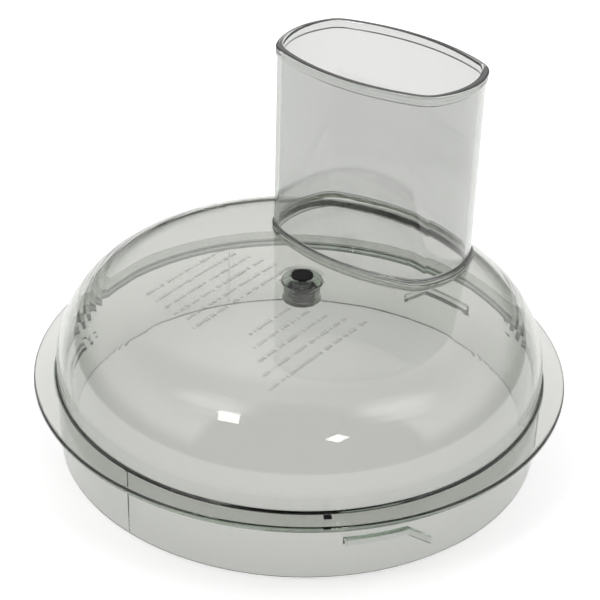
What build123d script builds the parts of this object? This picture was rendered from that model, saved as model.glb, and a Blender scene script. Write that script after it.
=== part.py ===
from build123d import *

import os
from math import atan2, cos, hypot, pi, sin, sqrt

# Clear lid of a food processor: domed lid with bayonet skirt, bonded feed tube and spindle bearing.
#
# Millimetres, +Z up.  The origin is the centre of the skirt's bottom edge, so the lid stands on Z = 0.
# The feed tube stands on the +Y side and the lid turns about Z to lock on its bowl.
#

# ---------------------------------------------------------------- driving dimensions

# dome, flange and skirt: one moulding
wall = 2.5                  # wall of the dome and of the skirt
skirt_radius = 105.0        # outside of the skirt, which drops into the bowl
flange_overhang = 10.0      # how far the flange stands out past the skirt, over the bowl's rim
flange_top = 33.8           # height of the flange's upper face
flange_thickness = 3.0
flange_edge_round = 1.3
dome_root_fillet = 1.5      # where the dome rises out of the flange
skirt_edge_round = 0.6
dome_rise = 41.5            # from the flange's upper face to the top of the dome on its axis
crown_radius = 1200.0       # the crown is nearly flat
shoulder_radius = 34.0      # from the crown down to the dome's upright side

# bayonet lugs and stop ribs on the skirt
lock_count = 3
lug_angle = -34.4           # middle of the first lug's level bar, about Z
lug_top = 20.5              # upper edge of the level bar
lug_bar_length = 26.4
lug_bar_height = 4.0
lug_depth = 2.2             # how far a lug stands off the skirt
lug_lead_length = 11.0      # sloping lead-in at the lug's leading end
lug_lead_drop = 8.6
lug_chamfer = 1.4           # along its lower edges and its closed end
rib_angle = -91.6
rib_width = 0.8
rib_depth = 0.5
rib_bottom = 1.5

# feed tube, a bulged rectangle in plan: long sides tangential to the lid
tube_offset = 49.0          # lid axis to tube axis
tube_half_length = 45.8     # across the lid, outside
tube_half_width = 29.8      # along the lid's radius, outside
tube_side_radius = 93.5     # bulge of the long sides
tube_end_radius = 37.0      # bulge of the two ends
tube_corner_radius = 12.0
tube_wall = 2.5
tube_height = 85.2          # from the bonded foot to the rim
tube_rim_lip = 0.8          # thickened rim, outside only
tube_rim_height = 4.2
tube_rim_round = 1.2
tube_foot_lip = 0.75        # bead at the foot, matched by the lid's collar
tube_foot_height = 0.5
foot_round = 0.35

# collar on the lid that takes the tube, and the adhesive between them
collar_rise = 0.5           # above the dome's top
collar_lip_height = 0.5
collar_drop = 6.3           # from the collar's top down to the passage's lower rim
bond_thickness = 0.3

# hub boss with the spindle bearing
boss_radius = 7.8           # clear post under the crown
boss_drop = 11.3            # from the dome's top down to the post's foot
boss_foot_radius = 8.3
boss_foot_height = 1.4
boss_cap_radius = 10.0      # low raised cone on top of the crown
boss_cap_rise = 1.3
boss_cap_top_radius = 5.8
spindle_radius = 2.5        # spindle nose that turns in the bush
spindle_clearance = 0.05    # running fit, on the radius
bush_wall = 0.85
bush_length = 9.6
bush_bottom_recess = 0.3    # bush sits this far up inside the boss
bush_chamfer = 0.3
plug_head_radius = 4.7
plug_head_rise = 0.6        # proud of the raised cone
plug_head_depth = 0.8       # let into the raised cone
plug_fit = 0.05             # clearance round the plug's head

# alignment pip let into the flange at the dome's root
pip_angle = -45.4
pip_set_out = 3.6           # from the skirt's outside out to the middle of the pip
pip_length = 3.2            # round the lid
pip_width = 2.2             # along the radius
pip_depth = 0.6
pip_rise = 0.5
pip_fit = 0.03

# ---------------------------------------------------------------- derived places

flange_radius = skirt_radius + flange_overhang
flange_bottom = flange_top - flange_thickness
flange_round = min(flange_edge_round, 0.45 * flange_thickness)
skirt_round = min(skirt_edge_round, 0.45 * wall)
crown_height = flange_top + dome_rise
crown_centre = crown_height - crown_radius
shoulder_x = skirt_radius - shoulder_radius
shoulder_z = crown_centre + sqrt((crown_radius - shoulder_radius) ** 2 - shoulder_x ** 2)
shoulder_turn = atan2(shoulder_z - crown_centre, shoulder_x)

lug_bottom = lug_top - lug_bar_height
collar_top = crown_height + collar_rise
bond_top = collar_top + bond_thickness
tube_top = bond_top + tube_height

boss_bottom = crown_height - boss_drop
bush_bore = spindle_radius + spindle_clearance
bush_radius = bush_bore + bush_wall
bush_bottom = boss_bottom + bush_bottom_recess
bush_top = bush_bottom + bush_length
boss_top = crown_height + boss_cap_rise
plug_seat = boss_top - plug_head_depth
plug_top = boss_top + plug_head_rise
pip_radius = skirt_radius + pip_set_out


def dome_height(radius, inset=0.0):
    """Height of the dome's outer face, or of the face inset below it, at a radius."""
    tangent_radius = (crown_radius - inset) * cos(shoulder_turn)
    if radius <= tangent_radius:
        return crown_centre + sqrt((crown_radius - inset) ** 2 - radius ** 2)
    return shoulder_z + sqrt((shoulder_radius - inset) ** 2 - (radius - shoulder_x) ** 2)


def shell_face(inset):
    """Crown arc, shoulder arc and foot point of the dome's face, inset from the outer one."""
    crown_r = crown_radius - inset
    shoulder_r = shoulder_radius - inset
    top = (0, crown_centre + crown_r)
    tangent = (crown_r * cos(shoulder_turn), crown_centre + crown_r * sin(shoulder_turn))
    crown_turn = (shoulder_turn + pi / 2) / 2
    crown_mid = (crown_r * cos(crown_turn), crown_centre + crown_r * sin(crown_turn))
    side_turn = shoulder_turn / 2
    side_mid = (shoulder_x + shoulder_r * cos(side_turn), shoulder_z + shoulder_r * sin(side_turn))
    side = (shoulder_x + shoulder_r, shoulder_z)
    return top, crown_mid, tangent, side_mid, side


def nearest(sketch, *points):
    """The sketch's corners nearest to the given points."""
    return [sketch.vertices().sort_by_distance((x, y, 0))[0] for x, y in points]


def tube_outline(grow=0.0):
    """Plan of the feed tube's outside, moved out by grow, as a sketch about the tube's axis."""
    long_half = tube_half_length + grow
    wide_half = tube_half_width + grow
    side_r = tube_side_radius + grow
    end_r = tube_end_radius + grow
    side_centre_y = wide_half - side_r
    end_centre_x = long_half - end_r
    between = hypot(end_centre_x, side_centre_y)
    reach = (between ** 2 + side_r ** 2 - end_r ** 2) / (2 * between)
    aside = sqrt(side_r ** 2 - reach ** 2)
    along = (end_centre_x / between, -side_centre_y / between)
    corner_x = along[0] * reach + along[1] * aside
    corner_y = side_centre_y + along[1] * reach - along[0] * aside
    with BuildSketch() as outline:
        with BuildLine():
            ThreePointArc((-corner_x, corner_y), (0, wide_half), (corner_x, corner_y))
            ThreePointArc((corner_x, corner_y), (long_half, 0), (corner_x, -corner_y))
            ThreePointArc((corner_x, -corner_y), (0, -wide_half), (-corner_x, -corner_y))
            ThreePointArc((-corner_x, -corner_y), (-long_half, 0), (-corner_x, corner_y))
        make_face()
        fillet(outline.vertices(), tube_corner_radius + grow)
    return outline.sketch


def tube_plane(height):
    """Level plane on the feed tube's axis."""
    return Plane(origin=(0, tube_offset, height))


# ---------------------------------------------------------------- one bayonet lug, at angle 0

with BuildPart() as lug:
    half_bar = lug_bar_length / 2
    lead_end = half_bar + lug_lead_length
    with BuildSketch(Plane.YZ.offset(skirt_radius - wall)):
        with BuildLine():
            Polyline(
                (-half_bar, lug_top), (half_bar, lug_top), (lead_end, lug_top - lug_lead_drop),
                (lead_end, lug_bottom - lug_lead_drop), (half_bar, lug_bottom),
                (-half_bar, lug_bottom), close=True)
        make_face()
    extrude(amount=wall + 2 * lug_depth)
    with BuildSketch(Plane.XY):
        Circle(skirt_radius + lug_depth)
        Circle(skirt_radius - wall / 2, mode=Mode.SUBTRACT)
    extrude(amount=flange_bottom, mode=Mode.INTERSECT)
    outside = skirt_radius + lug_depth
    softened = [
        lug.edges().sort_by_distance((sqrt(outside ** 2 - y ** 2), y, z))[0] for y, z in (
            (-half_bar, lug_top - lug_bar_height / 2), (0, lug_bottom),
            (half_bar + lug_lead_length / 2, lug_bottom - lug_lead_drop / 2))]
    chamfer(softened, min(lug_chamfer, 0.65 * lug_depth, 0.4 * lug_bar_height))

# ---------------------------------------------------------------- lid shell

with BuildPart() as lid_shell:
    outer_top, outer_crown, outer_tangent, outer_side, outer_foot = shell_face(0)
    inner_top, inner_crown, inner_tangent, inner_side, inner_foot = shell_face(wall)
    with BuildSketch(Plane.XZ) as section:
        with BuildLine():
            ThreePointArc(outer_top, outer_crown, outer_tangent)
            ThreePointArc(outer_tangent, outer_side, outer_foot)
            Polyline(
                outer_foot, (skirt_radius, flange_top), (flange_radius, flange_top),
                (flange_radius, flange_bottom), (skirt_radius, flange_bottom),
                (skirt_radius, 0), (skirt_radius - wall, 0), inner_foot)
            ThreePointArc(inner_foot, inner_side, inner_tangent)
            ThreePointArc(inner_tangent, inner_crown, inner_top)
            Line(inner_top, outer_top)
        make_face()
        fillet(nearest(section, (skirt_radius, flange_top)), dome_root_fillet)
        rim = nearest(section, (flange_radius, flange_top), (flange_radius, flange_bottom))
        fillet(rim, flange_round)
        edge = nearest(section, (skirt_radius, 0), (skirt_radius - wall, 0))
        fillet(edge, skirt_round)
    revolve(axis=Axis.Z)

    # bayonet lugs and the stop ribs between them
    with PolarLocations(0, lock_count, start_angle=lug_angle):
        add(lug.part)
    with BuildSketch(Plane.XY.offset(rib_bottom)):
        with PolarLocations(skirt_radius - wall / 2, lock_count, start_angle=rib_angle):
            Rectangle(wall / 2 + rib_depth, rib_width, align=(Align.MIN, Align.CENTER))
    extrude(amount=flange_bottom - rib_bottom)

    # collar for the feed tube, and the passage through it
    far_corner = max(hypot(v.X, v.Y + tube_offset) for v in tube_outline().vertices())
    with BuildSketch(tube_plane(collar_top)):
        add(tube_outline())
    extrude(amount=max(collar_drop, collar_top - dome_height(far_corner, wall / 2)), dir=(0, 0, -1))
    with BuildSketch(tube_plane(collar_top)):
        add(tube_outline(tube_foot_lip))
    extrude(amount=collar_lip_height, dir=(0, 0, -1))
    with BuildSketch(tube_plane(flange_top)):
        add(tube_outline(-tube_wall))
    extrude(amount=collar_top - flange_top, mode=Mode.SUBTRACT)

    # hub boss: post below the crown, foot ring and raised cone
    with BuildSketch(Plane.XZ):
        with BuildLine():
            Polyline(
                (0, boss_bottom), (boss_foot_radius, boss_bottom),
                (boss_foot_radius, boss_bottom + boss_foot_height),
                (boss_radius, boss_bottom + boss_foot_height),
                (boss_radius, crown_height - wall / 2), (boss_cap_radius, crown_height - wall / 2),
                (boss_cap_radius, dome_height(boss_cap_radius)), (boss_cap_top_radius, boss_top),
                (0, boss_top), close=True)
        make_face()
    revolve(axis=Axis.Z)
    with BuildSketch(Plane.XY.offset(boss_bottom)):
        Circle(bush_radius)
    extrude(amount=boss_top - boss_bottom, mode=Mode.SUBTRACT)
    with BuildSketch(Plane.XY.offset(plug_seat)):
        Circle(plug_head_radius + plug_fit)
    extrude(amount=plug_head_depth, mode=Mode.SUBTRACT)

    # pocket for the alignment pip
    with BuildSketch(Plane.XY.offset(flange_top - pip_depth)):
        with PolarLocations(pip_radius, 1, start_angle=pip_angle):
            Rectangle(pip_width + 2 * pip_fit, pip_length + 2 * pip_fit)
    extrude(amount=pip_depth + dome_root_fillet, mode=Mode.SUBTRACT)

# ---------------------------------------------------------------- feed tube

with BuildPart() as feed_tube:
    with BuildSketch(tube_plane(bond_top)):
        add(tube_outline())
    extrude(amount=tube_height)
    with BuildSketch(tube_plane(tube_top)):
        add(tube_outline(tube_rim_lip))
    extrude(amount=tube_rim_height, dir=(0, 0, -1))
    with BuildSketch(tube_plane(bond_top)):
        add(tube_outline(tube_foot_lip))
    extrude(amount=tube_foot_height)
    with BuildSketch(tube_plane(bond_top)):
        add(tube_outline(-tube_wall))
    extrude(amount=tube_height, mode=Mode.SUBTRACT)
    fillet(feed_tube.faces().sort_by(Axis.Z)[-1].edges(), tube_rim_round)
    shoulder = feed_tube.faces().filter_by(Plane.XY).group_by(Axis.Z)[1]
    fillet(shoulder.edges().group_by(SortBy.LENGTH)[-1], min(foot_round, 0.9 * tube_foot_height, 0.9 * tube_foot_lip))

# ---------------------------------------------------------------- bond line between collar and tube

with BuildPart() as bond_line:
    with BuildSketch(tube_plane(collar_top)):
        add(tube_outline(tube_foot_lip))
        add(tube_outline(-tube_wall), mode=Mode.SUBTRACT)
    extrude(amount=bond_thickness)

# ---------------------------------------------------------------- spindle bush and hub plug

with BuildPart() as spindle_bush:
    with BuildSketch(Plane.XY.offset(bush_bottom)):
        Circle(bush_radius)
        Circle(bush_bore, mode=Mode.SUBTRACT)
    extrude(amount=bush_length)
    mouth = spindle_bush.edges().filter_by(GeomType.CIRCLE).group_by(Axis.Z)[0]
    chamfer(mouth.group_by(SortBy.RADIUS)[0], bush_chamfer)

with BuildPart() as hub_plug:
    with BuildSketch(Plane.XY.offset(bush_top)):
        Circle(bush_radius)
    extrude(amount=plug_seat - bush_top)
    with BuildSketch(Plane.XY.offset(plug_seat)):
        Circle(plug_head_radius)
    extrude(amount=plug_top - plug_seat)
    fillet(hub_plug.edges().group_by(Axis.Z)[-1], plug_head_rise / 2)

# ---------------------------------------------------------------- alignment pip

with BuildPart() as alignment_pip:
    with BuildSketch(Plane.XY.offset(flange_top - pip_depth)):
        with PolarLocations(pip_radius, 1, start_angle=pip_angle):
            Rectangle(pip_width, pip_length)
    extrude(amount=pip_depth + pip_rise)
    fillet(alignment_pip.edges().group_by(Axis.Z)[-1], pip_rise / 2)

# ---------------------------------------------------------------- labels and files

lid_shell.part.label = "lid_shell"
feed_tube.part.label = "feed_tube"
bond_line.part.label = "bond_line"
spindle_bush.part.label = "spindle_bush"
hub_plug.part.label = "hub_plug"
alignment_pip.part.label = "alignment_pip"

os.makedirs("parts", exist_ok=True)
for piece in (lid_shell, feed_tube, bond_line, spindle_bush, hub_plug, alignment_pip):
    export_step(piece.part, f"parts/{piece.part.label}.step")
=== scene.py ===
from math import acos, asin, atan2, cos, degrees, hypot, pi, radians, sin, sqrt

import bmesh
import bpy
import numpy as np
from mathutils import Matrix, Vector, noise


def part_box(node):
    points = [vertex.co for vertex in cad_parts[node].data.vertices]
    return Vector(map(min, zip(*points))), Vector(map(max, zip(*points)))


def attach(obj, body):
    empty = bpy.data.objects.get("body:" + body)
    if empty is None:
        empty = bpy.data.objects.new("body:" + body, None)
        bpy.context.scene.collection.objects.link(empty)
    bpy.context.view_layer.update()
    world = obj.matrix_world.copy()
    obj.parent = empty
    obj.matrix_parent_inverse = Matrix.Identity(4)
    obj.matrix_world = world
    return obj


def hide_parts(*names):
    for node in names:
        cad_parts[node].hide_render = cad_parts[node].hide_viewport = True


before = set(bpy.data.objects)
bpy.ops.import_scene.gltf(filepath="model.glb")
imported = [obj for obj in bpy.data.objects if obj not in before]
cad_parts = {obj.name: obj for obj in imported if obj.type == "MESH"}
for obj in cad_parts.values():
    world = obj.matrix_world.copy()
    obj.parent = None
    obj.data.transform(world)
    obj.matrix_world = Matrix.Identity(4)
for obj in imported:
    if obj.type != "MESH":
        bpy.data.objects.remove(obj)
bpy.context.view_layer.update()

# Clear food processor lid: domed moulding, bonded feed tube, spindle bush under a round plug.
# Metres, +Z up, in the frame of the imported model.

# ------------------------ sizes, from the frame where it gives them

mm = 0.001

lid_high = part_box("lid_shell")[1]
tube_low, tube_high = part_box("feed_tube")
bond_low, bond_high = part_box("bond_line")
bush_low, bush_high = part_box("spindle_bush")
plug_low, plug_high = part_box("hub_plug")
pip_low, pip_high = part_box("alignment_pip")

# dome, flange and skirt
wall = 2.5 * mm
flange_radius = lid_high.x
flange_overhang = 10.0 * mm
flange_thickness = 3.0 * mm
skirt_radius = flange_radius - flange_overhang
flange_top = 33.8 * mm
flange_bottom = flange_top - flange_thickness
flange_edge_round = 1.3 * mm
skirt_foot_round = 0.6 * mm
skirt_root_round = 0.4 * mm
dome_root_fillet = 1.5 * mm
crown_height = 75.3 * mm
crown_radius = 1200.0 * mm
shoulder_radius = 34.0 * mm
shoulder_x = skirt_radius - shoulder_radius
crown_centre = crown_height - crown_radius
shoulder_z = crown_centre + sqrt((crown_radius - shoulder_radius) ** 2 - shoulder_x ** 2)
shoulder_turn = atan2(shoulder_z - crown_centre, shoulder_x)

# bayonet lugs and stop ribs, a third of a turn apart
lock_count = 3
lug_angle = radians(-34.4)
lug_top = 20.5 * mm
lug_height = 4.0 * mm
lug_bottom = lug_top - lug_height
lug_half_bar = 13.2 * mm
lug_lead_run = 11.0 * mm
lug_lead_end = lug_half_bar + lug_lead_run
lug_lead_fade = 16.0 * mm       # the run beyond the lead-in where the skirt's rows level out
lug_lead_drop = 8.6 * mm
lug_depth = 2.2 * mm
lug_chamfer = 1.4 * mm
rib_angle = radians(-91.6)
rib_half_width = 0.4 * mm
rib_depth = 0.5 * mm
rib_bottom = 1.5 * mm

# feed tube, a bulged rectangle in plan
tube_rim_lip = 0.8 * mm
tube_centre = Vector(((tube_low.x + tube_high.x) / 2, (tube_low.y + tube_high.y) / 2, 0))
tube_half_length = (tube_high.x - tube_low.x) / 2 - tube_rim_lip
tube_half_width = (tube_high.y - tube_low.y) / 2 - tube_rim_lip
tube_side_radius = 93.5 * mm
tube_end_radius = 37.0 * mm
tube_corner_radius = 12.0 * mm
tube_rim_height = 4.2 * mm
tube_foot_lip = (bond_high.x - bond_low.x) / 2 - tube_half_length
collar_lip_height = 0.5 * mm
collar_top = bond_low.z
collar_fillet = 0.9 * mm
collar_clear_rise = 0.6 * mm    # rise over which the wall draws in below the lip
collar_root_fillet = 0.7 * mm
passage_depth = 6.3 * mm
passage_bottom = collar_top - passage_depth
passage_least = 0.25 * mm       # least depth of the passage's wall below the inner face
edge_reach = 0.3 * mm           # a softened edge runs this far along both of its faces
edge_middle = 0.09 * mm         # and its middle lies this far in from both

# hub boss
boss_radius = 7.8 * mm
boss_below_bush = 0.3 * mm
boss_bottom = bush_low.z - boss_below_bush
boss_foot_radius = 8.3 * mm
boss_foot_height = 1.4 * mm
boss_cap_radius = 10.0 * mm
boss_cap_top_radius = 5.8 * mm
boss_top = lid_high.z
bush_radius = bush_high.x
bush_wall = 0.85 * mm
bush_bore = bush_radius - bush_wall
bush_grooves = 5
bush_first_groove = 1.2 * mm
bush_groove_pitch = 1.7 * mm
bush_groove_depth = 0.1 * mm
plug_head_radius = plug_high.x
plug_head_gap = 0.05 * mm       # air round the plug's head
plug_head_depth = 0.8 * mm
plug_seat = boss_top - plug_head_depth
# bush and stem bed into the bore by this; the plug's seat and the bond's film stay clear by it
fit_step = 0.02 * mm

# pip let into the flange
pip_angle = radians(-45.4)
pip_half_length = 1.6 * mm
pip_half_width = 1.1 * mm
pip_edge = 0.25 * mm

# relief on the crown: ticks in broken rows, in two blocks
tick_length, tick_width, tick_height = 2.3 * mm, 0.34 * mm, 0.12 * mm
tick_edge = 0.05 * mm
relief_sizes = {"Pitch": 0.9 * mm, "Filled share": 0.8, "Crown radius": crown_radius,
                "Crown height": crown_height, "Clear of crown": 0.01 * mm}
relief_seed = 11
# each block: (x, y start, y end) of its first row, the same of its last, and how many rows
relief_blocks = [((-42 * mm, -51 * mm, -4 * mm), (-9.5 * mm, -58 * mm, 4 * mm), 6),
                 ((11 * mm, -47 * mm, -22 * mm), (40.5 * mm, -71 * mm, -9 * mm), 5)]

# how finely the clear mouldings are divided
column_count = 288              # columns round the lid
sector_half_turn = radians(72.5)    # the part of the crown that is laid out around the feed tube
patch_inner = 14.0 * mm
patch_outer = 94.0 * mm
patch_rows = 32
patch_rings = 14
weld_distance = 1e-7
lid_weld_distance = 2e-6
hard_edge = radians(40)
bond_hard_edge = radians(75)
relief_hard_edge = radians(60)

# support rings for smooth shading
long_run = 0.8 * mm
support_distance = 0.12 * mm
support_most = 0.4              # of the run
support_bend = radians(5)       # a flatter joint needs none

# ------------------------ mesh helpers


def arc(centre, radius, start, end, steps):
    """Points of an arc in (radius, height), from start to end in degrees, both ends included."""
    turns = np.radians(np.linspace(start, end, steps + 1))
    return [(centre[0] + radius * cos(t), centre[1] + radius * sin(t)) for t in turns]


def new_piece(name, mesh, material):
    """Links a finished mesh as a piece of the lid."""
    piece = bpy.data.objects.new(name, mesh)
    bpy.context.scene.collection.objects.link(piece)
    mesh.materials.clear()
    mesh.materials.append(material)
    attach(piece, "root")
    return piece


def finish_mesh(name, verts, faces, weld=weld_distance, edge=hard_edge):
    """A mesh from points and faces: doubles merged, faces outwards, smooth but for hard edges."""
    mesh = bpy.data.meshes.new(name)
    mesh.from_pydata([tuple(v) for v in verts], [], faces)
    work = bmesh.new()
    work.from_mesh(mesh)
    bmesh.ops.remove_doubles(work, verts=work.verts, dist=weld)
    bmesh.ops.dissolve_degenerate(work, edges=work.edges, dist=weld)
    bmesh.ops.recalc_face_normals(work, faces=work.faces)
    work.to_mesh(mesh)
    work.free()
    mesh.shade_smooth()
    mesh.set_sharp_from_angle(angle=edge)
    return mesh


def least_bend(step, other):
    """The least angle between two runs of rings, over all their points."""
    across = np.linalg.norm(step, axis=1) * np.linalg.norm(other, axis=1)
    cosine = float(((step * other).sum(axis=1) / np.maximum(across, 1e-12)).min())
    return acos(min(1.0, max(-1.0, cosine)))


def held(rings):
    """Adds rings just inside the ends of long straight runs, where the surface bends.

    Smooth shading then stays with its own face."""
    steps = [b - a for a, b in zip(rings, rings[1:])]
    kept = [rings[0]]
    for k, step in enumerate(steps):
        length = np.linalg.norm(step, axis=1)
        if length.mean() > long_run:
            share = np.minimum(support_distance / np.maximum(length, 1e-9), support_most)[:, None]
            for other, place in ((k - 1, share), (k + 1, 1 - share)):
                at_end = not 0 <= other < len(steps)
                if at_end or least_bend(step, steps[other]) > support_bend:
                    kept.append(rings[k] + step * place)
        kept.append(rings[k + 1])
    return kept


class Skin:
    """Points and quads gathered grid by grid, before they are welded into one mesh."""

    def __init__(self):
        self.verts = []
        self.faces = []

    def grid(self, rings, closed=True):
        """Quads between rings of equal length, (n, 3) arrays. closed joins each ring's ends."""
        rings = held(rings)
        start = len(self.verts)
        count = len(rings[0])
        for ring in rings:
            self.verts.extend(ring)
        last = count if closed else count - 1
        for k in range(len(rings) - 1):
            for j in range(last):
                a = start + k * count + j
                b = start + k * count + (j + 1) % count
                self.faces.append((a, b, b + count, a + count))


def plain_ring(turns, radius, height):
    """A level ring of points about the lid's axis."""
    level = np.full(len(turns), height)
    return np.column_stack((radius * np.cos(turns), radius * np.sin(turns), level))


def lathe(name, profile, columns, closed=True):
    """A solid of revolution about the lid's axis from (radius, height) points.

    closed joins the profile's ends."""
    turns = np.arange(columns) * 2 * pi / columns
    skin = Skin()
    points = list(profile) + ([profile[0]] if closed else [])
    skin.grid([plain_ring(turns, r, z) for r, z in points])
    return finish_mesh(name, skin.verts, skin.faces)


# ------------------------ the lid's form


def dome_height(radius, inset=0.0):
    """Height of the dome's outer face, or of the face inset below it, at each radius."""
    radius = np.asarray(radius, float)
    tangent = (crown_radius - inset) * cos(shoulder_turn)
    crown = crown_centre + np.sqrt((crown_radius - inset) ** 2 - radius ** 2)
    reach = np.clip((shoulder_radius - inset) ** 2 - (radius - shoulder_x) ** 2, 0, None)
    return np.where(radius <= tangent, crown, shoulder_z + np.sqrt(reach))


def on_dome(plan, inset=0.0):
    """Plan points (n, 2) lifted on to the dome's face."""
    return np.column_stack((plan, dome_height(np.hypot(plan[:, 0], plan[:, 1]), inset)))


def tube_arcs():
    """Centres of the outline's side, corner and end arcs in its first quarter, from its middle.

    The two angles are the normal directions where the corner meets the side and the end."""
    side = (0.0, tube_half_width - tube_side_radius)
    end = (tube_half_length - tube_end_radius, 0.0)
    side_reach = tube_side_radius - tube_corner_radius
    end_reach = tube_end_radius - tube_corner_radius
    between = hypot(end[0], side[1])
    along = (between ** 2 + side_reach ** 2 - end_reach ** 2) / (2 * between)
    aside = sqrt(side_reach ** 2 - along ** 2)
    unit = (end[0] / between, -side[1] / between)
    corner = (unit[0] * along + unit[1] * aside, side[1] + unit[1] * along - unit[0] * aside)
    side_turn = atan2(corner[1] - side[1], corner[0])
    end_turn = atan2(corner[1], corner[0] - end[0])
    return side, corner, end, side_turn, end_turn


def outline(turns, grow=0.0):
    """Plan points and outward normals of the feed tube's outline, at normal directions turns."""
    side, corner, end, side_turn, end_turn = tube_arcs()
    points = []
    for t in turns:
        nx, ny = cos(t), sin(t)
        sx, sy = (1 if nx >= 0 else -1), (1 if ny >= 0 else -1)
        lean = atan2(abs(ny), abs(nx))
        if lean >= side_turn:
            centre, radius = side, tube_side_radius
        elif lean <= end_turn:
            centre, radius = end, tube_end_radius
        else:
            centre, radius = corner, tube_corner_radius
        points.append((sx * centre[0] + radius * nx, sy * centre[1] + radius * ny))
    normals = np.column_stack((np.cos(turns), np.sin(turns)))
    return np.array(points) + normals * grow + np.array(tube_centre.xy), normals


def outline_turns(long_count, end_count, corner_count):
    """Normal directions once round the outline, clockwise from the middle of a corner.

    The corner is the one at +X nearest the hub. long_count and end_count are the steps along a
    long side and an end, with half a corner at each of their ends; corner_count is the steps in
    half a corner."""
    side_turn, end_turn = tube_arcs()[3:]
    middle = (side_turn + end_turn) / 2
    half = (side_turn - end_turn) / 2
    long_side, end_side = (pi - 2 * middle, long_count), (2 * middle, end_count)
    turns = []
    for start, (span, count) in ((-middle, long_side), (middle - pi, end_side),
                                 (-middle - pi, long_side), (middle - 2 * pi, end_side)):
        first, last = start - half, start - span + half
        turns += [*np.linspace(start, first, corner_count + 1)[:-1],
                  *np.linspace(first, last, count - 2 * corner_count + 1)[:-1],
                  *np.linspace(last, start - span, corner_count + 1)[:-1]]
    return np.array(turns)


def lock_places(angle, places):
    """Directions about the axis of places, chord distances from each of the lock's repeats."""
    return [angle + k * 2 * pi / lock_count + asin(p / skirt_radius)
            for k in range(lock_count) for p in places]


# how far a lug or rib stands off the skirt, as shares of its depth, at places across and along it
lug_shoulder = 1 - lug_chamfer / lug_depth      # the share left at its chamfered edges
lug_ends = np.array([
    -lug_half_bar - 0.3 * mm, -lug_half_bar - 0.04 * mm, -lug_half_bar + 0.04 * mm,
    -lug_half_bar + lug_chamfer, lug_lead_end - 0.5 * mm, lug_lead_end - 0.16 * mm,
    lug_lead_end + 0.06 * mm, lug_lead_end + 0.4 * mm])
lug_end_shares = [0, 0.04, 0.9 * lug_shoulder, 1, 1, 0.88, 0.12, 0]
lug_sides = [
    lug_bottom - 0.3 * mm, lug_bottom - 0.04 * mm, lug_bottom + 0.04 * mm,
    lug_bottom + lug_chamfer, lug_top - 0.4 * mm, lug_top - 0.06 * mm,
    lug_top + 0.06 * mm, lug_top + 0.4 * mm]
lug_side_shares = [0, 0.04, 0.9 * lug_shoulder, 1, 1, 0.9, 0.1, 0]
rib_sides = np.array([
    -rib_half_width - 0.25 * mm, -rib_half_width - 0.03 * mm, -rib_half_width + 0.06 * mm,
    -rib_half_width + 0.25 * mm, rib_half_width - 0.25 * mm, rib_half_width - 0.06 * mm,
    rib_half_width + 0.03 * mm, rib_half_width + 0.25 * mm])
rib_side_shares = [0, 0.1, 0.88, 1, 1, 0.88, 0.1, 0]
rib_ends = [
    rib_bottom - 0.4 * mm, rib_bottom - 0.06 * mm, rib_bottom + 0.06 * mm, rib_bottom + 0.4 * mm]
rib_end_shares = [0, 0.1, 0.9, 1]


def lid_columns():
    """Directions of the lid's columns: even steps, and more at the ends of each lug and rib."""
    exact = lock_places(lug_angle, [*lug_ends, lug_half_bar]) + lock_places(rib_angle, rib_sides)
    exact = np.mod(exact, 2 * pi)
    even = np.arange(column_count) * 2 * pi / column_count
    clearance = 0.6 * mm / skirt_radius
    edges = (pi / 2 - sector_half_turn, pi / 2 + sector_half_turn)
    kept = [t for t in even
            if np.abs(exact - t).min() > clearance or min(abs(t - e) for e in edges) < 1e-6]
    return np.sort(np.concatenate((kept, exact)))


def chord_from(turns, angle):
    """Chord distance on the skirt from the nearest of the lock's repeats about angle."""
    step = 2 * pi / lock_count
    away = np.mod(turns - angle + step / 2, step) - step / 2
    return skirt_radius * np.sin(away)


def skirt_ring(turns, radius, height):
    """One ring of the skirt's outer face, with lugs and ribs standing off it."""
    lug_at = chord_from(turns, lug_angle)
    rib_at = chord_from(turns, rib_angle)
    lug = (np.interp(lug_at, lug_ends, lug_end_shares)
           * np.interp(height, lug_sides, lug_side_shares))
    rib = (np.interp(rib_at, rib_sides, rib_side_shares)
           * np.interp(height, rib_ends, rib_end_shares))
    drop = np.interp(lug_at, [lug_half_bar, lug_lead_end, lug_lead_end + lug_lead_fade],
                     [0, lug_lead_drop, 0])
    pull_levels = [
        skirt_foot_round, lug_bottom - mm, lug_top + mm, flange_bottom - skirt_root_round]
    pull = np.interp(height, pull_levels, [0, 1, 1, 0])
    r = radius + lug_depth * lug + rib_depth * rib
    z = height - drop * pull
    return np.column_stack((r * np.cos(turns), r * np.sin(turns), z * np.ones_like(turns)))


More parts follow.
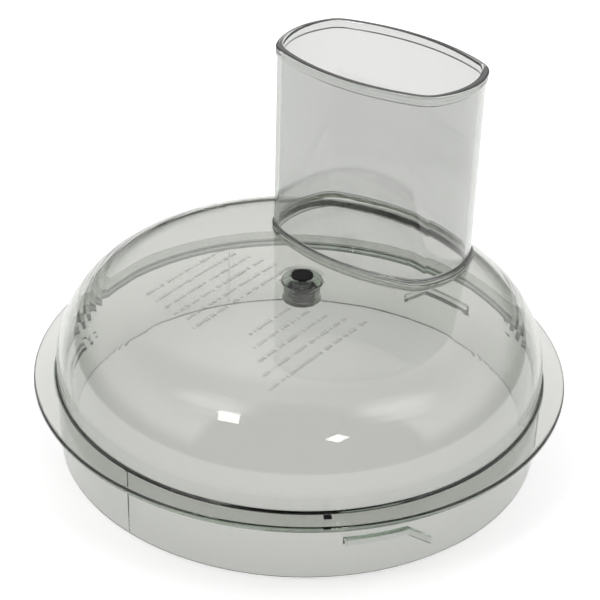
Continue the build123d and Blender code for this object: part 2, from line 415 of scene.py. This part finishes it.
def hub_profile():
    """(radius, height) from the crown's outer face, over the cap, down the bore and back inside."""
    def outer(radius):
        return float(dome_height(radius))

    def inner(radius):
        return float(dome_height(radius, wall))

    bore = bush_radius - fit_step
    seat = plug_head_radius + plug_head_gap
    cap_foot = outer(boss_cap_radius)
    step_top = boss_bottom + boss_foot_height
    ceiling = crown_height - wall
    cap = [
        (boss_cap_radius + 0.5 * mm, cap_foot + 0.01 * mm), (boss_cap_radius, cap_foot + 0.1 * mm),
        (boss_cap_radius - 0.5 * mm, cap_foot + 0.3 * mm),
        (boss_cap_top_radius + 0.5 * mm, boss_top - 0.17 * mm),
        (boss_cap_top_radius, boss_top - 0.02 * mm), (boss_cap_top_radius - 0.4 * mm, boss_top)]
    hole = [
        (seat + 0.15 * mm, boss_top), (seat, boss_top - 0.15 * mm), (seat, plug_seat),
        (bore, plug_seat), (bore, plug_seat - 2 * mm), (bore, boss_bottom + 5 * mm),
        (bore, boss_bottom + 0.4 * mm), (bore + 0.4 * mm, boss_bottom)]
    foot = [
        (boss_foot_radius - 0.3 * mm, boss_bottom), (boss_foot_radius, boss_bottom + 0.3 * mm),
        (boss_foot_radius, step_top - 0.3 * mm),
        (boss_foot_radius - 0.15 * mm, step_top - 0.06 * mm),
        (boss_radius + 0.1 * mm, step_top + 0.03 * mm), (boss_radius, step_top + 0.3 * mm)]
    post = [
        (boss_radius, ceiling - 4 * mm), (boss_radius, ceiling - 0.6 * mm),
        (boss_radius + 0.09 * mm, ceiling - 0.25 * mm),
        (boss_radius + 0.25 * mm, ceiling - 0.09 * mm),
        (boss_radius + 0.6 * mm, inner(boss_radius + 0.6 * mm))]
    return [(patch_inner, outer(patch_inner)), (12 * mm, outer(12 * mm)), *cap, *hole, *foot, *post,
            (11 * mm, inner(11 * mm)), (patch_inner, inner(patch_inner))]


def rim_rings(turns):
    """Rings from the outer shoulder over flange and skirt and up to the inner shoulder."""
    outer_turn = degrees(acos((patch_outer - shoulder_x) / shoulder_radius))
    inner_turn = degrees(acos((patch_outer - shoulder_x) / (shoulder_radius - wall)))
    root = (skirt_radius + dome_root_fillet, flange_top + dome_root_fillet)
    edge_x = flange_radius - flange_edge_round
    outside = [
        *arc((shoulder_x, shoulder_z), shoulder_radius, outer_turn, 0, 12),
        *arc(root, dome_root_fillet, 180, 270, 6), (flange_radius - 4 * mm, flange_top),
        *arc((edge_x, flange_top - flange_edge_round), flange_edge_round, 90, 0, 5),
        *arc((edge_x, flange_bottom + flange_edge_round), flange_edge_round, 0, -90, 5),
        (flange_radius - 5 * mm, flange_bottom), (skirt_radius + 2 * mm, flange_bottom)]
    rings = [plain_ring(turns, r, z) for r, z in outside]
    under_flange = (skirt_radius + skirt_root_round, flange_bottom - skirt_root_round)
    for r, z in arc(under_flange, skirt_root_round, 90, 180, 2):
        rings.append(skirt_ring(turns, r, z))
    levels = [27.5 * mm, 24.5 * mm, 22.3 * mm, *lug_sides[:3:-1], 18.5 * mm, *lug_sides[3::-1],
              13 * mm, 10 * mm, 7 * mm, 4 * mm, *rib_ends[::-1]]
    rings += [skirt_ring(turns, skirt_radius, z) for z in levels]
    foot = skirt_foot_round
    inside = [
        *arc((skirt_radius - foot, foot), foot, 0, -90, 3),
        *arc((skirt_radius - wall + foot, foot), foot, -90, -180, 3),
        *[(skirt_radius - wall, z * mm) for z in (8, 16, 24, 32)],
        *arc((shoulder_x, shoulder_z), shoulder_radius - wall, 0, inner_turn, 12)]
    return rings + [plain_ring(turns, r, z) for r, z in inside]


def collar_rings(turns):
    """Rings round the feed passage: up the collar from the dome, through it and out below."""
    base, normals = outline(turns)

    def grown(out):
        """The outline moved out by one distance, or by a distance for each point."""
        return base + normals * np.reshape(out, (-1, 1))

    def lifted(out, height):
        return np.column_stack((grown(out), height * np.ones(len(turns))))

    def dome_at(out, inset=0.0):
        return dome_height(np.hypot(*grown(out).T), inset)

    lip = tube_foot_lip
    rise = collar_top - dome_at(lip)
    reach = np.clip((rise - collar_lip_height) / collar_clear_rise, 0, 1)
    neck = lip * (1 - reach)
    fillet = np.minimum(collar_fillet, 0.4 * rise)
    rings = []
    for turn in (0, 30, 60):
        out = neck + fillet * (1 - sin(radians(turn)))
        rings.append(lifted(out, dome_at(out) + fillet * (1 - cos(radians(turn)))))
    foot = dome_at(neck) + fillet
    under = np.maximum(foot + 0.02 * mm, collar_top - collar_lip_height)
    tall = collar_top - under
    rings += [lifted(neck, foot), lifted(neck, foot + 0.8 * (under - foot))]
    for share, drop in ((0.12, 0.02), (0.88, 0.0), (1.0, -0.12)):
        rings.append(lifted(neck + (lip - neck) * share, under - drop * tall))
    for share, back in ((0.75, 0.0), (0.93, 0.07), (1.0, 0.24)):
        rings.append(lifted(lip - back * tall, under + share * tall))

    inner_edge = np.minimum(passage_bottom, dome_at(-wall, wall) - passage_least)
    outer_edge = np.minimum(passage_bottom, dome_at(0, wall) - passage_least)
    depth = dome_at(0, wall) - outer_edge
    low_round = np.minimum(edge_reach, 0.3 * depth)
    root = np.minimum(collar_root_fillet, 0.5 * depth)
    rings += [
        lifted(-wall + edge_reach, collar_top),
        lifted(-wall + edge_middle, collar_top - edge_middle),
        lifted(-wall, collar_top - edge_reach), lifted(-wall, (collar_top + inner_edge) / 2),
        lifted(-wall, inner_edge + edge_reach),
        lifted(-wall + edge_middle, inner_edge + edge_middle),
        lifted(-wall + edge_reach, inner_edge), lifted(-edge_reach, outer_edge),
        lifted(-edge_middle, outer_edge + 0.3 * low_round), lifted(0, outer_edge + low_round)]
    for turn in (90, 60, 30, 0):
        out = root * (1 - sin(radians(turn)))
        rings.append(lifted(out, dome_at(out, wall) - root * (1 - cos(radians(turn)))))
    return rings


def spread(inner, outer, inset, rings):
    """Rings on the dome's face between two loops of points, closer near the inner loop."""
    shares = (np.arange(1, rings) / rings) ** 1.25
    return [on_dome(inner[:, :2] + (outer[:, :2] - inner[:, :2]) * s, inset) for s in shares]


def lid_mesh():
    turns = lid_columns()
    start, end = pi / 2 - sector_half_turn, pi / 2 + sector_half_turn
    first = int(np.argmin(np.abs(turns - start)))
    last = int(np.argmin(np.abs(turns - end)))
    sector = turns[first:last + 1]
    rest = np.concatenate((turns[last:], turns[:first + 1]))
    radii = np.linspace(patch_inner, patch_outer, patch_rows + 1)

    skin = Skin()
    skin.grid([plain_ring(turns, r, z) for r, z in hub_profile()])
    skin.grid(rim_rings(turns))
    for inset in (0.0, wall):
        skin.grid([plain_ring(rest, r, float(dome_height(r, inset))) for r in radii], closed=False)

    # the loop round the sector, clockwise from its corner at +X nearest the hub
    near = [(patch_inner * cos(t), patch_inner * sin(t)) for t in sector[:-1]]
    left = [(r * cos(sector[-1]), r * sin(sector[-1])) for r in radii[:-1]]
    far = [(patch_outer * cos(t), patch_outer * sin(t)) for t in sector[:0:-1]]
    right = [(r * cos(sector[0]), r * sin(sector[0])) for r in radii[:0:-1]]
    loop = np.array(near + left + far + right)
    passage = collar_rings(outline_turns(len(sector) - 1, patch_rows, 7))
    outside = [on_dome(loop), *spread(passage[0], loop, 0.0, patch_rings)[::-1]]
    inside = [*spread(passage[-1], loop, wall, patch_rings), on_dome(loop, wall)]
    skin.grid(outside + passage + inside)
    return finish_mesh("clear_lid", skin.verts, skin.faces, weld=lid_weld_distance)


# ------------------------ feed tube and bond


def tube_mesh():
    foot, rim = tube_low.z, tube_high.z
    thick = rim - tube_rim_height
    lip, edge = tube_foot_lip, tube_rim_lip
    profile = [(-wall, foot + edge_reach), (-wall + edge_middle, foot + edge_middle),
               (-wall + edge_reach, foot), (lip - 0.12 * mm, foot),
               (lip - 0.03 * mm, foot + 0.04 * mm), (lip, foot + 0.14 * mm)]
    profile += arc((lip - 0.33 * mm, foot + 0.17 * mm), 0.33 * mm, 8, 90, 4)
    profile += [(0.2 * mm, foot + 0.53 * mm), (0.05 * mm, foot + 0.66 * mm), (0, foot + 0.9 * mm)]
    profile += [(0, z) for z in np.linspace(foot + 8 * mm, thick - 4 * mm, 9)]
    profile += [(0, thick - 0.6 * mm), (0.1 * mm, thick - 0.2 * mm), (0.4 * mm, thick + 0.1 * mm),
                (0.7 * mm, thick + 0.4 * mm), (edge, thick + 0.8 * mm)]
    profile += arc((edge - 1.2 * mm, rim - 1.2 * mm), 1.2 * mm, 0, 90, 6)
    profile += arc((-wall + 1.2 * mm, rim - 1.2 * mm), 1.2 * mm, 90, 180, 6)
    profile += [(-wall, z) for z in np.linspace(rim - 8 * mm, foot + 6 * mm, 8)]
    turns = outline_turns(96, 56, 14)
    rings = []
    for grow, z in profile + profile[:1]:
        plan = outline(turns, grow)[0]
        rings.append(np.column_stack((plan, np.full(len(plan), z))))
    skin = Skin()
    skin.grid(rings)
    return finish_mesh("clear_tube", skin.verts, skin.faces)


def wander(place, scale, seed):
    """Smooth noise about 0 at a point, repeatable."""
    return noise.noise(Vector((place[0] * scale + seed, place[1] * scale, seed * 1.7)))


def bond_mesh():
    """Adhesive film between collar and tube, squeezed out unevenly inside and out."""
    turns = outline_turns(150, 90, 20)
    base, normals = outline(turns)
    middle = (bond_low.z + bond_high.z) / 2
    film = (bond_high.z - bond_low.z) / 2 - fit_step
    sections = []
    for place, normal in zip(base, normals):
        far = max(0.0, float(normal[1])) ** 0.5         # 1 on the side away from the hub
        outer = (0.14 + 0.10 * wander(place, 60, 3.1) + 0.05 * wander(place, 240, 5.2)) * mm
        inner = (0.24 + 0.30 * wander(place, 45, 9.4) + 0.12 * wander(place, 190, 2.7)) * mm
        inner = max(inner, 0.1 * mm)
        tall = inner * (1 + 3.2 * far + 1.6 * wander(place, 70, 4.4))
        sag = 0.5 * mm * wander(place, 50, 7.7) - 0.4 * mm * far
        lip, bore = tube_foot_lip, -wall
        section = [
            (lip - 0.3 * mm, film), (lip - 0.06 * mm, film + 0.3 * outer),
            (lip + 0.55 * outer, 0.75 * outer), (lip + outer, 0.1 * outer),
            (lip + 0.6 * outer, -0.7 * outer), (lip - 0.06 * mm, -film - 0.3 * outer),
            (lip - 0.3 * mm, -film), (bore + 0.3 * mm, -film),
            (bore - 0.03 * mm, -film - 0.6 * tall + sag),
            (bore - 0.7 * inner, -0.75 * tall + sag), (bore - inner, sag),
            (bore - 0.6 * inner, 0.7 * tall + sag),
            (bore - 0.03 * mm, film + 0.6 * tall + sag), (bore + 0.3 * mm, film)]
        sections.append([(*(place + normal * g), middle + z) for g, z in section])
    rings = [np.array(ring) for ring in zip(*sections)]
    skin = Skin()
    skin.grid(rings + rings[:1])
    return finish_mesh("bond_bead", skin.verts, skin.faces, edge=bond_hard_edge)


# ------------------------ bush, plug and pip


def bush_mesh():
    """Turned sleeve with shallow grooves round it."""
    outer = bush_radius
    bottom, top = bush_low.z, bush_high.z
    profile = [(bush_bore, top), (bush_bore, bottom + 0.3 * mm), (bush_bore + 0.3 * mm, bottom),
               (outer - 0.2 * mm, bottom), (outer, bottom + 0.2 * mm)]
    groove = outer - bush_groove_depth
    for k in range(bush_grooves):
        z = bottom + bush_first_groove + bush_groove_pitch * k
        profile += [(outer, z), (groove, z + 0.12 * mm), (groove, z + 0.4 * mm),
                    (outer, z + 0.52 * mm)]
    profile += [(outer, top - 0.2 * mm), (outer - 0.2 * mm, top)]
    return lathe("steel_bush", profile, 96)


def plug_mesh():
    """Round plug with a slightly dished head and a stem."""
    head, stem = plug_head_radius, bush_radius
    seat, top, bottom = plug_seat + fit_step, plug_high.z, plug_low.z + fit_step
    profile = [(0, top - 0.12 * mm), (2.2 * mm, top - 0.1 * mm), (3.6 * mm, top - 0.03 * mm)]
    profile += arc((head - 0.3 * mm, top - 0.3 * mm), 0.3 * mm, 90, 0, 4)
    profile += [(head, seat + 0.1 * mm), (head - 0.1 * mm, seat), (stem, seat),
                (stem, bottom + 0.2 * mm), (stem - 0.2 * mm, bottom), (0, bottom)]
    return lathe("black_plug", profile, 96, closed=False)


def pip_mesh():
    """Small rounded block let into the flange."""
    centre = Matrix.Translation((Vector(pip_low) + Vector(pip_high)) / 2)
    size = Matrix.Diagonal((2 * pip_half_width, 2 * pip_half_length, pip_high.z - pip_low.z, 1))
    work = bmesh.new()
    bmesh.ops.create_cube(work, size=1, matrix=centre @ Matrix.Rotation(pip_angle, 4, "Z") @ size)
    bmesh.ops.bevel(
        work, geom=work.edges, offset=pip_edge, segments=3, profile=0.5, affect="EDGES")
    mesh = bpy.data.meshes.new("black_pip")
    work.to_mesh(mesh)
    work.free()
    mesh.shade_smooth()
    return mesh


# ------------------------ materials


class Shader:
    """A material's node tree, built by short calls."""

    def __init__(self, name):
        self.material = bpy.data.materials.new(name)
        self.material.use_nodes = True
        self.tree = self.material.node_tree
        self.tree.nodes.clear()
        self.output = self.add("ShaderNodeOutputMaterial")
        self.place = self.add("ShaderNodeTexCoord").outputs["Object"]

    def add(self, kind, **inputs):
        """A node, with input values set by name; an underscore stands for a space."""
        node = self.tree.nodes.new(kind)
        for key, value in inputs.items():
            node.inputs[key.replace("_", " ")].default_value = value
        return node

    def link(self, out, into):
        self.tree.links.new(out, into)

    def principled(self, **inputs):
        node = self.add("ShaderNodeBsdfPrincipled", **inputs)
        self.link(node.outputs["BSDF"], self.output.inputs["Surface"])
        return node

    def stretched(self, scale):
        node = self.add("ShaderNodeMapping", Scale=scale)
        self.link(self.place, node.inputs["Vector"])
        return node.outputs["Vector"]

    def noise(self, scale, detail=2.0, roughness=0.5, vector=None):
        node = self.add("ShaderNodeTexNoise", Scale=scale, Detail=detail, Roughness=roughness)
        self.link(self.place if vector is None else vector, node.inputs["Vector"])
        return node.outputs["Fac"]

    def ramp(self, factor, stops):
        node = self.add("ShaderNodeValToRGB")
        ramp = node.color_ramp
        while len(ramp.elements) < len(stops):
            ramp.elements.new(1)
        for element, (place, colour) in zip(ramp.elements, stops):
            element.position = place
            element.color = (*colour, 1)
        self.link(factor, node.inputs["Fac"])
        return node.outputs["Color"]

    def bump(self, height, strength, distance, onto=None):
        node = self.add("ShaderNodeBump", Strength=strength, Distance=distance)
        self.link(height, node.inputs["Height"])
        if onto is not None:
            self.link(onto, node.inputs["Normal"])
        return node.outputs["Normal"]


def clear_plastic(name, tint, absorbed, waviness, surface_roughness=0.02):
    """Clear moulded plastic, coloured by its depth, with a moulding's faint waves and fine haze."""
    shader = Shader(name)
    body = shader.principled(
        Base_Color=(*tint, 1), Roughness=surface_roughness, IOR=1.55, Transmission_Weight=1.0)
    strongest = max(absorbed)
    left = [1 - a / strongest for a in absorbed]
    depth = shader.add("ShaderNodeVolumeAbsorption", Color=(*left, 1), Density=strongest)
    shader.link(depth.outputs["Volume"], shader.output.inputs["Volume"])
    wave_scale, ripple_scale, haze_scale = 38, 160, 700
    waves = shader.bump(shader.noise(wave_scale, 2), waviness, 0.4 * mm)
    ripples = shader.bump(shader.noise(ripple_scale, 3), waviness * 0.5, 0.08 * mm, waves)
    shader.link(ripples, body.inputs["Normal"])
    marked = [c * 0.97 for c in tint]
    haze = shader.ramp(shader.noise(haze_scale, 5, 0.7), [(0.35, marked), (0.7, tint)])
    shader.link(haze, body.inputs["Base Color"])
    return shader.material


def turned_steel():
    shader = Shader("turned_steel")
    body = shader.principled(Metallic=1.0, Roughness=0.34)
    rings = shader.noise(900, 3, 0.6, shader.stretched((0.12, 0.12, 2.5)))
    metal = shader.ramp(rings, [(0.3, (0.03, 0.03, 0.033)), (0.7, (0.11, 0.11, 0.12))])
    shader.link(metal, body.inputs["Base Color"])
    worn = shader.ramp(rings, [(0.3, (0.24,) * 3), (0.8, (0.46,) * 3)])
    shader.link(worn, body.inputs["Roughness"])
    shader.link(shader.bump(rings, 0.35, 0.03 * mm), body.inputs["Normal"])
    return shader.material


def black_plastic(name, roughness):
    shader = Shader(name)
    body = shader.principled(Roughness=roughness, IOR=1.42, Specular_IOR_Level=0.22)
    grain = shader.noise(2600, 4, 0.65)
    cloud = shader.noise(420, 2)
    shader.link(shader.ramp(cloud, [(0.3, (0.008, 0.008, 0.009)), (0.75, (0.018, 0.018, 0.02))]),
                body.inputs["Base Color"])
    low, high = (roughness - 0.08,) * 3, (roughness + 0.14,) * 3
    shader.link(shader.ramp(cloud, [(0.3, low), (0.8, high)]), body.inputs["Roughness"])
    shader.link(shader.bump(grain, 0.5, 0.03 * mm), body.inputs["Normal"])
    return shader.material


floor_glow = 0.52    # evens out the shadow under the clear lid


def pale_floor():
    shader = Shader("pale_floor")
    body = shader.principled(
        Roughness=0.85, Emission_Color=(1, 1, 1, 1), Emission_Strength=floor_glow)
    pale = shader.ramp(shader.noise(14, 3), [(0.3, (0.86,) * 3), (0.7, (0.88,) * 3)])
    shader.link(pale, body.inputs["Base Color"])
    return shader.material


# ------------------------ relief on the crown


def maths(tree, operation, *values):
    """The result of a Math node in a tree, fed by numbers or by other nodes' outputs."""
    made = tree.nodes.new("ShaderNodeMath")
    made.operation = operation
    for socket, value in zip(made.inputs, values):
        if isinstance(value, (int, float)):
            socket.default_value = value
        else:
            tree.links.new(value, socket)
    return made.outputs[0]


def tick_mesh():
    """One small rounded tick, standing on Z = 0, its length along X and its width along Y."""
    work = bmesh.new()
    size = Matrix.Diagonal((tick_length, tick_width, tick_height, 1))
    lift = Matrix.Translation((0, 0, tick_height / 2))
    bmesh.ops.create_cube(work, size=1, matrix=lift @ size)
    bmesh.ops.bevel(work, geom=work.edges, offset=tick_edge, segments=1, affect="EDGES")
    mesh = bpy.data.meshes.new("tick")
    work.to_mesh(mesh)
    work.free()
    return mesh


def relief_tree(material, tick):
    """Ticks in broken rows along the mesh's edges, laid on the crown. No lettering."""
    tree = bpy.data.node_groups.new("relief_rows", "GeometryNodeTree")
    face = tree.interface
    face.new_socket("Geometry", in_out="INPUT", socket_type="NodeSocketGeometry")
    for label, value in relief_sizes.items():
        size = face.new_socket(label, in_out="INPUT", socket_type="NodeSocketFloat")
        size.default_value = value
    seed = face.new_socket("Seed", in_out="INPUT", socket_type="NodeSocketInt")
    seed.default_value = relief_seed
    face.new_socket("Geometry", in_out="OUTPUT", socket_type="NodeSocketGeometry")
    nodes, links = tree.nodes, tree.links

    def node(kind, **settings):
        made = nodes.new(kind)
        for key, value in settings.items():
            setattr(made, key, value)
        return made

    given = node("NodeGroupInput")
    rows = node("GeometryNodeMeshToCurve")
    links.new(given.outputs["Geometry"], rows.inputs["Mesh"])
    steps = node("GeometryNodeResampleCurve", mode="LENGTH")
    links.new(rows.outputs["Curve"], steps.inputs["Curve"])
    links.new(given.outputs["Pitch"], steps.inputs["Length"])
    kept = node("FunctionNodeRandomValue", data_type="BOOLEAN")
    links.new(given.outputs["Filled share"], kept.inputs["Probability"])
    links.new(given.outputs["Seed"], kept.inputs["Seed"])
    lengths = node("FunctionNodeRandomValue", data_type="FLOAT_VECTOR")
    lengths.inputs[0].default_value = (0.45, 0.8, 1)
    lengths.inputs[1].default_value = (1.05, 1.3, 1)
    links.new(given.outputs["Seed"], lengths.inputs["Seed"])
    info = node("GeometryNodeObjectInfo")
    info.inputs["Object"].default_value = tick
    laid = node("GeometryNodeInstanceOnPoints")
    links.new(steps.outputs["Curve"], laid.inputs["Points"])
    links.new(kept.outputs["Value"], laid.inputs["Selection"])
    links.new(info.outputs["Geometry"], laid.inputs["Instance"])
    links.new(lengths.outputs[0], laid.inputs["Scale"])
    real = node("GeometryNodeRealizeInstances")
    links.new(laid.outputs["Instances"], real.inputs["Geometry"])
    place = node("GeometryNodeInputPosition")
    parts = node("ShaderNodeSeparateXYZ")
    links.new(place.outputs[0], parts.inputs[0])
    x, y = parts.outputs[0], parts.outputs[1]
    reach = maths(tree, "ADD", maths(tree, "MULTIPLY", x, x), maths(tree, "MULTIPLY", y, y))
    radius = given.outputs["Crown radius"]
    square = maths(tree, "MULTIPLY", radius, radius)
    rise = maths(tree, "SQRT", maths(tree, "SUBTRACT", square, reach))
    lift = maths(tree, "ADD", maths(tree, "SUBTRACT", rise, radius), given.outputs["Crown height"])
    lift = maths(tree, "ADD", lift, given.outputs["Clear of crown"])
    offset = node("ShaderNodeCombineXYZ")
    links.new(lift, offset.inputs[2])
    draped = node("GeometryNodeSetPosition")
    links.new(real.outputs["Geometry"], draped.inputs["Geometry"])
    links.new(offset.outputs[0], draped.inputs["Offset"])
    again = node("GeometryNodeRealizeInstances")
    links.new(draped.outputs["Geometry"], again.inputs["Geometry"])
    painted = node("GeometryNodeSetMaterial")
    painted.inputs["Material"].default_value = material
    links.new(again.outputs["Geometry"], painted.inputs["Geometry"])
    out = node("NodeGroupOutput")
    links.new(painted.outputs["Geometry"], out.inputs[0])
    return tree


def row_ends(first, last, count):
    """Rows along Y, evenly spaced in X, from the first to the last, each (x, y start, y end)."""
    return [tuple(a + (b - a) * k / (count - 1) for a, b in zip(first, last))
            for k in range(count)]


def relief_mesh(material):
    rows = [row for block in relief_blocks for row in row_ends(*block)]
    base = bpy.data.meshes.new("relief_rows")
    verts = [(x, y, 0) for x, low, high in rows for y in (low, high)]
    base.from_pydata(verts, [(2 * k, 2 * k + 1) for k in range(len(rows))], [])
    tick = bpy.data.objects.new("tick", tick_mesh())
    bpy.context.scene.collection.objects.link(tick)
    bed = bpy.data.objects.new("relief_bed", base)
    bpy.context.scene.collection.objects.link(bed)
    tree = relief_tree(material, tick)
    modifier = bed.modifiers.new("rows", "NODES")
    modifier.node_group = tree
    wanted = {**relief_sizes, "Seed": relief_seed}
    for item in tree.interface.items_tree:
        if item.in_out == "INPUT" and item.name in wanted:
            modifier[item.identifier] = wanted[item.name]
    evaluated = bed.evaluated_get(bpy.context.evaluated_depsgraph_get())
    mesh = bpy.data.meshes.new_from_object(evaluated)
    bed.modifiers.remove(modifier)
    bpy.data.objects.remove(bed)
    bpy.data.objects.remove(tick)
    mesh.name = "crown_relief"
    mesh.shade_smooth()
    mesh.set_sharp_from_angle(angle=relief_hard_edge)
    return mesh


# ------------------------ pieces

grey_green = (60.0, 50.0, 60.0)     # light taken per metre of plastic: red, green, blue
clear_lid = clear_plastic("clear_lid_plastic", (0.79, 0.78, 0.77), grey_green, 0.06)
clear_tube = clear_plastic("clear_tube_plastic", (0.76, 0.75, 0.755), grey_green, 0.05)
bond_glue = clear_plastic("bond_adhesive", (0.66, 0.74, 0.60), (200.0, 140.0, 240.0), 0.3, 0.12)
frosted = clear_plastic("frosted_relief", (0.86, 0.855, 0.85), grey_green, 0.4, 0.2)

lid = new_piece("clear_lid", lid_mesh(), clear_lid)
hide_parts("lid_shell")
new_piece("crown_relief", relief_mesh(frosted), frosted)
tube = new_piece("clear_tube", tube_mesh(), clear_tube)
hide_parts("feed_tube")
bond = new_piece("bond_bead", bond_mesh(), bond_glue)
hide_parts("bond_line")
bush = new_piece("steel_bush", bush_mesh(), turned_steel())
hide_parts("spindle_bush")
plug = new_piece("black_plug", plug_mesh(), black_plastic("plug_plastic", 0.55))
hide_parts("hub_plug")
pip = new_piece("black_pip", pip_mesh(), black_plastic("pip_plastic", 0.5))
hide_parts("alignment_pip")

# ------------------------ floor, light and camera


def floor():
    size = 3.0
    mesh = bpy.data.meshes.new("floor")
    corners = [(-size, -size, 0), (size, -size, 0), (size, size, 0), (-size, size, 0)]
    mesh.from_pydata(corners, [], [(0, 1, 2, 3)])
    ground = bpy.data.objects.new("floor", mesh)
    bpy.context.scene.collection.objects.link(ground)
    mesh.materials.append(pale_floor())


def softbox(name, direction, distance, size, power, turned, colour):
    """A rectangular light that faces the lid from a direction, turned about that line."""
    light = bpy.data.lights.new(name, "AREA")
    light.shape = "RECTANGLE"
    light.size, light.size_y = size
    light.energy = power
    light.color = colour
    lamp = bpy.data.objects.new(name, light)
    bpy.context.scene.collection.objects.link(lamp)
    aim = Vector((0, 0, 0.06))
    away = Vector(direction).normalized()
    lamp.location = aim + away * distance
    facing = (-away).to_track_quat("-Z", "Y").to_matrix()
    facing = facing @ Matrix.Rotation(radians(turned), 3, "Z")
    lamp.rotation_euler = facing.to_euler()


sky_low, sky_back, sky_top, sky_front = 0.12, 1.4, 0.7, 0.08
sky_colour = (1.0, 0.975, 0.99, 1)
sky_front_x, sky_front_y, sky_front_blend = 0.15, 0.12, 0.25    # where the dark front quarter ends
sky_panels = [((-0.27, -0.31, 0.91), 15, 1.6), ((0.42, 0.24, 0.87), 17, 1.6)]


def sky():
    """Soft studio surround: pale behind the lid, dark in front, two brighter panels overhead."""
    world = bpy.data.worlds.new("studio")
    world.use_nodes = True
    tree = world.node_tree
    nodes, links = tree.nodes, tree.links
    direction = nodes.new("ShaderNodeTexCoord").outputs["Generated"]

    def rise(value, low, high, to_low, to_high):
        node = nodes.new("ShaderNodeMapRange")
        node.interpolation_type = "SMOOTHSTEP"
        links.new(value, node.inputs["Value"])
        ends = {"From Min": low, "From Max": high, "To Min": to_low, "To Max": to_high}
        for label, number in ends.items():
            node.inputs[label].default_value = number
        return node.outputs["Result"]

    def towards(place):
        node = nodes.new("ShaderNodeVectorMath")
        node.operation = "DOT_PRODUCT"
        links.new(direction, node.inputs[0])
        node.inputs[1].default_value = Vector(place).normalized()
        return node.outputs["Value"]

    parts = nodes.new("ShaderNodeSeparateXYZ")
    links.new(direction, parts.inputs[0])
    x, y, z = parts.outputs
    to_right = maths(tree, "ADD", x, sky_front_x)
    to_near = maths(tree, "SUBTRACT", sky_front_y, y)
    front = maths(tree, "SMOOTH_MIN", to_right, to_near, sky_front_blend)
    shade = rise(front, -0.03, 0.06, 0.0, 1.0)
    overhead = rise(z, 0.6, 0.9, 0.0, sky_back - sky_top)
    back = maths(tree, "SUBTRACT", rise(z, 0.1, 0.45, sky_low, sky_back), overhead)
    lit = maths(tree, "MULTIPLY", back, maths(tree, "SUBTRACT", 1.0, shade))
    level = maths(tree, "ADD", lit, maths(tree, "MULTIPLY", shade, sky_front))
    for place, width, strength in sky_panels:
        panel = rise(towards(place), cos(radians(width)), 1.0, 0.0, strength)
        level = maths(tree, "ADD", level, panel)
    paint = nodes["Background"]
    paint.inputs["Color"].default_value = sky_colour
    links.new(level, paint.inputs["Strength"])
    bpy.context.scene.world = world


window_colour = (1, 0.98, 0.92)
window_distance = 2.0


def studio():
    sky()
    softbox("window_left", (-0.094, -0.511, 0.855), window_distance, (0.24, 0.24), 2.4, 45,
            window_colour)
    softbox("window_right", (0.618, -0.373, 0.693), window_distance, (0.26, 0.22), 2.0, 40,
            window_colour)


def camera():
    """A long lens above the lid's +X -Y side, in the plane that holds the lid's axis."""
    standing = radians(-52)             # where the camera stands, about Z
    height_turn = radians(35.74)        # its height above the lid's foot, seen from there
    distance = 6.41 * flange_radius
    dip = radians(31.47)
    pan = radians(-0.06)
    roll = radians(1.71)
    focal = 98.5
    turn = Matrix.Rotation(standing + pi / 2, 3, "Z")
    place = turn @ Vector((0, -distance * cos(height_turn), distance * sin(height_turn)))
    look = turn @ Vector((sin(pan) * cos(dip), cos(pan) * cos(dip), -sin(dip)))
    right = look.cross(Vector((0, 0, 1))).normalized()
    up = right.cross(look)
    side = right * cos(roll) + up * sin(roll)
    top = up * cos(roll) - right * sin(roll)
    data = bpy.data.cameras.new("camera")
    data.lens = focal
    data.sensor_width = 36
    data.clip_start = 0.05
    viewer = bpy.data.objects.new("camera", data)
    bpy.context.scene.collection.objects.link(viewer)
    pose = Matrix((side, top, -look)).transposed().to_4x4()
    pose.translation = place
    viewer.matrix_world = pose
    bpy.context.scene.camera = viewer


floor()
studio()
camera()
bpy.context.scene.view_settings.view_transform = "Standard"
